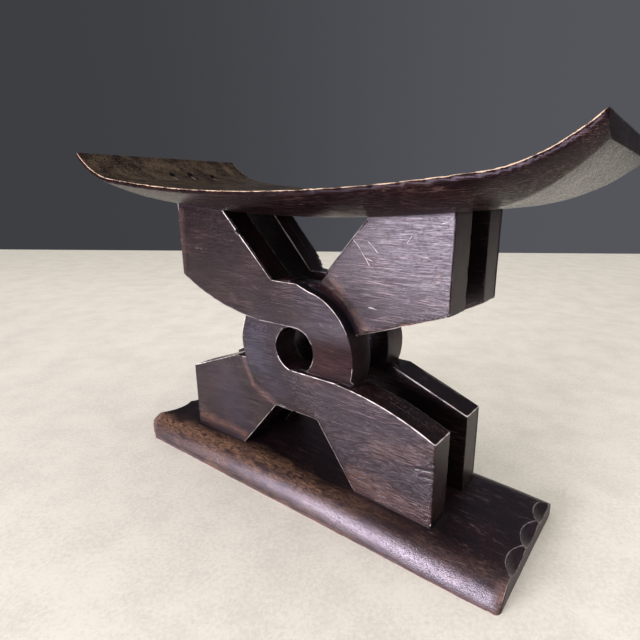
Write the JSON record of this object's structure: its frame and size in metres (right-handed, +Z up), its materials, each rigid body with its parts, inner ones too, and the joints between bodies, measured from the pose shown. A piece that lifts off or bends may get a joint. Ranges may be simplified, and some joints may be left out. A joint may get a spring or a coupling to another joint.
{
  "type": "carved wooden stool",
  "caption": "Carved wooden stool with a crescent seat on two parallel interlaced knot frames over a low, round-edged base plank.",
  "frame": {"origin": "on the floor, under the middle of the seat", "axes": "+X along the seat, +Y to the back, +Z up"},
  "size_m": [0.546, 0.227, 0.3665],
  "materials": {
    "seat_wood": "satin",
    "base_wood": "satin",
    "strap_wood": "satin"
  },
  "bodies": {
    "root": {"seat": "seat_wood", "base": "base_wood", "front_left_strap": "strap_wood", "front_right_strap": "strap_wood", "rear_left_strap": "strap_wood", "rear_right_strap": "strap_wood"}
  },
  "joints": []
}
